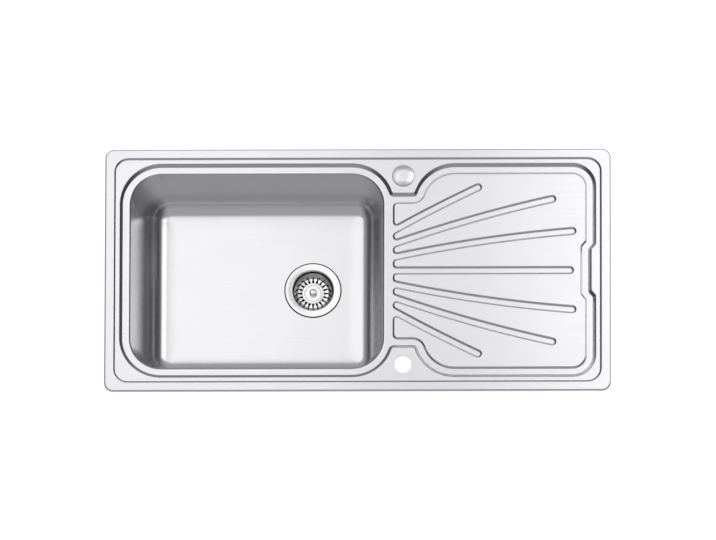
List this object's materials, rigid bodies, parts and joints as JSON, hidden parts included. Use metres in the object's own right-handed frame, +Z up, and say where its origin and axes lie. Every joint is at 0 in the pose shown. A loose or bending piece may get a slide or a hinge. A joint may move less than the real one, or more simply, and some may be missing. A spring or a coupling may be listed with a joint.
{
  "type": "kitchen sink with drainboard",
  "caption": "Inset stainless steel kitchen sink with a large bowl, grooved drainboard, strainer waste with basket, capped tap hole and swing-out fixing clips.",
  "frame": {"origin": "centre of the deck's outline, in the plane of the worktop that the rim rests on", "axes": "+X from the bowl to the drainboard, +Y to the back, +Z up"},
  "size_m": [1, 0.5, 0.249],
  "materials": {
    "satin_steel": "satin brushed stainless steel",
    "bowl_steel": "satin drawn stainless steel",
    "bright_steel": "polished stainless steel",
    "zinc_steel": "zinc plated steel, matt",
    "white_plastic": "moulded polypropylene",
    "grey_plastic": "moulded plastic",
    "black_rubber": "moulded rubber",
    "grey_foam": "closed cell foam",
    "damping_pad": "bitumen damping sheet",
    "brass": "turned brass"
  },
  "bodies": {
    "root": {"deck": "satin_steel", "bowl": "bowl_steel", "sound_pad": "damping_pad", "rim_seal": "grey_foam", "strainer_cup": "bright_steel", "flange_seal": "black_rubber", "body_seal": "black_rubber", "waste_body": "white_plastic", "brass_insert": "brass", "centre_screw": "bright_steel", "tap_hole_cap": "bright_steel", "cap_seal": "black_rubber", "clip_rail_front_bowl": "satin_steel", "clip_rail_front_drainer": "satin_steel", "clip_rail_back_bowl": "satin_steel", "clip_rail_back_drainer": "satin_steel", "clip_rail_left": "satin_steel", "clip_rail_right": "satin_steel", "clip_1_hanger": "zinc_steel", "clip_2_hanger": "zinc_steel", "clip_3_hanger": "zinc_steel", "clip_4_hanger": "zinc_steel", "clip_5_hanger": "zinc_steel", "clip_6_hanger": "zinc_steel", "clip_7_hanger": "zinc_steel", "clip_8_hanger": "zinc_steel"},
    "clip_1_screw": {"clip_1_screw": "zinc_steel"},
    "clip_1_jaw": {"clip_1_jaw": "zinc_steel"},
    "clip_2_screw": {"clip_2_screw": "zinc_steel"},
    "clip_2_jaw": {"clip_2_jaw": "zinc_steel"},
    "clip_3_screw": {"clip_3_screw": "zinc_steel"},
    "clip_3_jaw": {"clip_3_jaw": "zinc_steel"},
    "clip_4_screw": {"clip_4_screw": "zinc_steel"},
    "clip_4_jaw": {"clip_4_jaw": "zinc_steel"},
    "clip_5_screw": {"clip_5_screw": "zinc_steel"},
    "clip_5_jaw": {"clip_5_jaw": "zinc_steel"},
    "clip_6_screw": {"clip_6_screw": "zinc_steel"},
    "clip_6_jaw": {"clip_6_jaw": "zinc_steel"},
    "clip_7_screw": {"clip_7_screw": "zinc_steel"},
    "clip_7_jaw": {"clip_7_jaw": "zinc_steel"},
    "clip_8_screw": {"clip_8_screw": "zinc_steel"},
    "clip_8_jaw": {"clip_8_jaw": "zinc_steel"},
    "basket": {"basket": "bright_steel", "basket_seal": "black_rubber", "basket_stem": "grey_plastic", "basket_knob": "bright_steel"},
    "cap_bridge": {"cap_bridge": "zinc_steel"},
    "wing_nut": {"wing_nut": "zinc_steel"}
  },
  "joints": [
    {"name": "clip_1_tighten", "type": "slide", "parent": "root", "child": "clip_1_screw", "axis": [0, 0, 1], "range_m": [0, 0.012]},
    {"name": "clip_1_swing", "type": "hinge", "parent": "clip_1_screw", "child": "clip_1_jaw", "pos_m": [-0.3, -0.2185, -0.05], "axis": [0, 0, -1], "range_deg": [0, 90]},
    {"name": "clip_2_tighten", "type": "slide", "parent": "root", "child": "clip_2_screw", "axis": [0, 0, 1], "range_m": [0, 0.012]},
    {"name": "clip_2_swing", "type": "hinge", "parent": "clip_2_screw", "child": "clip_2_jaw", "pos_m": [-0.1, -0.2185, -0.05], "axis": [0, 0, -1], "range_deg": [0, 90]},
    {"name": "clip_3_tighten", "type": "slide", "parent": "root", "child": "clip_3_screw", "axis": [0, 0, 1], "range_m": [0, 0.012]},
    {"name": "clip_3_swing", "type": "hinge", "parent": "clip_3_screw", "child": "clip_3_jaw", "pos_m": [0.308, -0.2185, -0.05], "axis": [0, 0, -1], "range_deg": [0, 90]},
    {"name": "clip_4_tighten", "type": "slide", "parent": "root", "child": "clip_4_screw", "axis": [0, 0, 1], "range_m": [0, 0.012]},
    {"name": "clip_4_swing", "type": "hinge", "parent": "clip_4_screw", "child": "clip_4_jaw", "pos_m": [0.4595, 0, -0.05], "axis": [0, 0, -1], "range_deg": [0, 90]},
    {"name": "clip_5_tighten", "type": "slide", "parent": "root", "child": "clip_5_screw", "axis": [0, 0, 1], "range_m": [0, 0.012]},
    {"name": "clip_5_swing", "type": "hinge", "parent": "clip_5_screw", "child": "clip_5_jaw", "pos_m": [0.308, 0.2185, -0.05], "axis": [0, 0, -1], "range_deg": [0, 90]},
    {"name": "clip_6_tighten", "type": "slide", "parent": "root", "child": "clip_6_screw", "axis": [0, 0, 1], "range_m": [0, 0.012]},
    {"name": "clip_6_swing", "type": "hinge", "parent": "clip_6_screw", "child": "clip_6_jaw", "pos_m": [-0.1, 0.2185, -0.05], "axis": [0, 0, -1], "range_deg": [0, 90]},
    {"name": "clip_7_tighten", "type": "slide", "parent": "root", "child": "clip_7_screw", "axis": [0, 0, 1], "range_m": [0, 0.012]},
    {"name": "clip_7_swing", "type": "hinge", "parent": "clip_7_screw", "child": "clip_7_jaw", "pos_m": [-0.3, 0.2185, -0.05], "axis": [0, 0, -1], "range_deg": [0, 90]},
    {"name": "clip_8_tighten", "type": "slide", "parent": "root", "child": "clip_8_screw", "axis": [0, 0, 1], "range_m": [0, 0.012]},
    {"name": "clip_8_swing", "type": "hinge", "parent": "clip_8_screw", "child": "clip_8_jaw", "pos_m": [-0.4685, 0, -0.05], "axis": [0, 0, -1], "range_deg": [0, 90]},
    {"name": "basket_lift", "type": "slide", "parent": "root", "child": "basket", "axis": [0, 0, 1], "range_m": [0, 0.12]},
    {"name": "bridge_drop", "type": "slide", "parent": "root", "child": "cap_bridge", "axis": [0, 0, -1], "range_m": [0, 0.006]},
    {"name": "wing_nut_turn", "type": "hinge", "parent": "cap_bridge", "child": "wing_nut", "pos_m": [0.09, 0.195, -0.005], "axis": [0, 0, -1], "range_deg": [0, 1080]}
  ],
  "couplings": [
    {"joint": "bridge_drop", "follows": "wing_nut_turn", "m_per_rad": 0.00031831}
  ]
}
